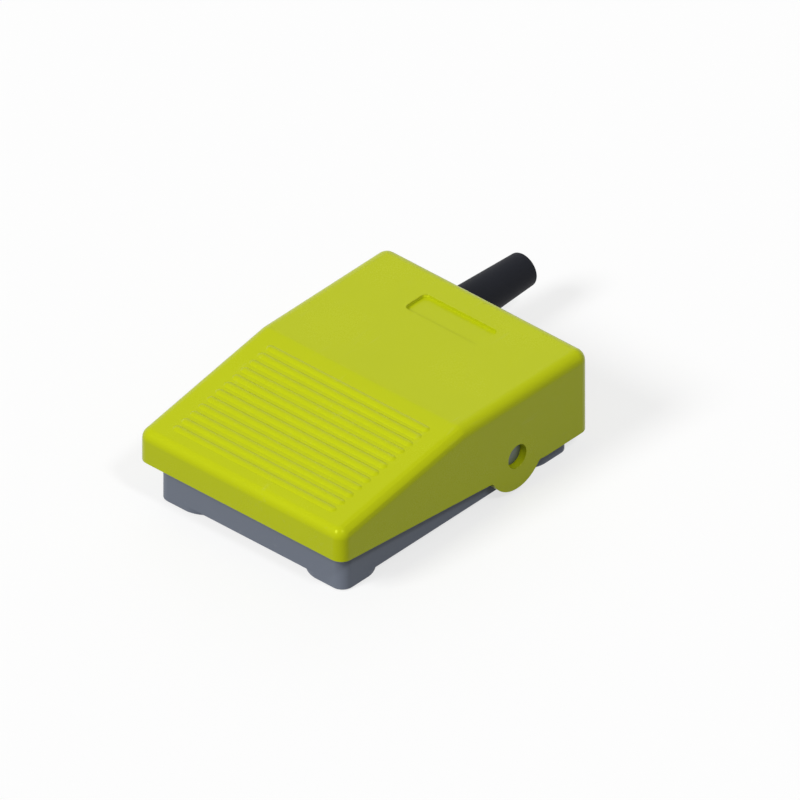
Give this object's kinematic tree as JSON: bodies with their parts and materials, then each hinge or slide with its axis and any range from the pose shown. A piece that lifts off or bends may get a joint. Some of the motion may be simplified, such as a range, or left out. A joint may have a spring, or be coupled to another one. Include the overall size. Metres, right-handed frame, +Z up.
{
  "type": "foot switch",
  "caption": "Small foot switch: a sprung wedge-shaped pedal with a ribbed tread over a low base with corner feet, hinged at two side ears, with a tapered cord sleeve at the back.",
  "frame": {"origin": "centre of the box of the whole part, at the bottom of the rubber pads", "axes": "+Z up, -Y towards the pedal's front edge where the toe presses, +Y towards the cord, +X to the right as seen by someone facing the pedal's front edge from behind the heel"},
  "size_m": [0.068, 0.1244, 0.0296],
  "materials": {
    "pedal_plastic": "lime yellow moulded plastic, satin",
    "base_plastic": "mid grey moulded plastic, satin",
    "cover_plastic": "dark grey moulded plastic, satin",
    "black_rubber": "matt black rubber",
    "zinc_steel": "zinc plated steel",
    "pin_steel": "ground steel",
    "spring_steel": "drawn spring steel",
    "white_nylon": "natural nylon",
    "switch_black": "black thermoset",
    "switch_red": "red thermoset",
    "terminal_brass": "bare brass"
  },
  "bodies": {
    "base": {"base_housing": "base_plastic", "foot_pads": "black_rubber", "inner_cover": "cover_plastic", "cover_gasket": "black_rubber", "cover_screws": "zinc_steel", "pivot_pin_left": "pin_steel", "pivot_pin_right": "pin_steel", "return_spring_left": "spring_steel", "return_spring_right": "spring_steel", "actuator_boot": "black_rubber", "switch_case": "switch_black", "switch_lid": "switch_red", "terminal_common": "terminal_brass", "terminal_open": "terminal_brass", "terminal_closed": "terminal_brass", "switch_screws": "zinc_steel", "strain_relief": "black_rubber", "cord_clamp": "cover_plastic", "cord_clamp_screws": "zinc_steel"},
    "pedal": {"pedal": "pedal_plastic"},
    "actuator": {"actuator": "white_nylon", "actuator_clip": "spring_steel"},
    "lever": {"switch_lever": "spring_steel"},
    "button": {"switch_button": "white_nylon"}
  },
  "joints": [
    {"name": "pedal_tilt", "type": "hinge", "parent": "base", "child": "pedal", "pos_m": [0, 0.0028, 0.0112], "axis": [1, 0, 0], "range_deg": [0, 5], "stiffness_Nm_per_rad": 4.8, "springref_deg": -4.58, "deforming": ["return_spring_left", "return_spring_right"]},
    {"name": "actuator_slide", "type": "slide", "parent": "base", "child": "actuator", "axis": [0, 0, -1], "range_m": [0, 0.0016], "deforming": ["actuator_boot"]},
    {"name": "lever_swing", "type": "hinge", "parent": "base", "child": "lever", "pos_m": [-0.0007, 0.0008, 0.0151], "axis": [1, 0, 0], "range_deg": [0, 5.8]},
    {"name": "button_slide", "type": "slide", "parent": "base", "child": "button", "axis": [0, 0, -1], "range_m": [0, 0.00065]}
  ],
  "couplings": [
    {"joint": "actuator_slide", "follows": "pedal_tilt", "m_per_rad": 0.01719},
    {"joint": "lever_swing", "follows": "pedal_tilt", "ratio": 1.109},
    {"joint": "button_slide", "follows": "pedal_tilt", "m_per_rad": 0.007209}
  ]
}
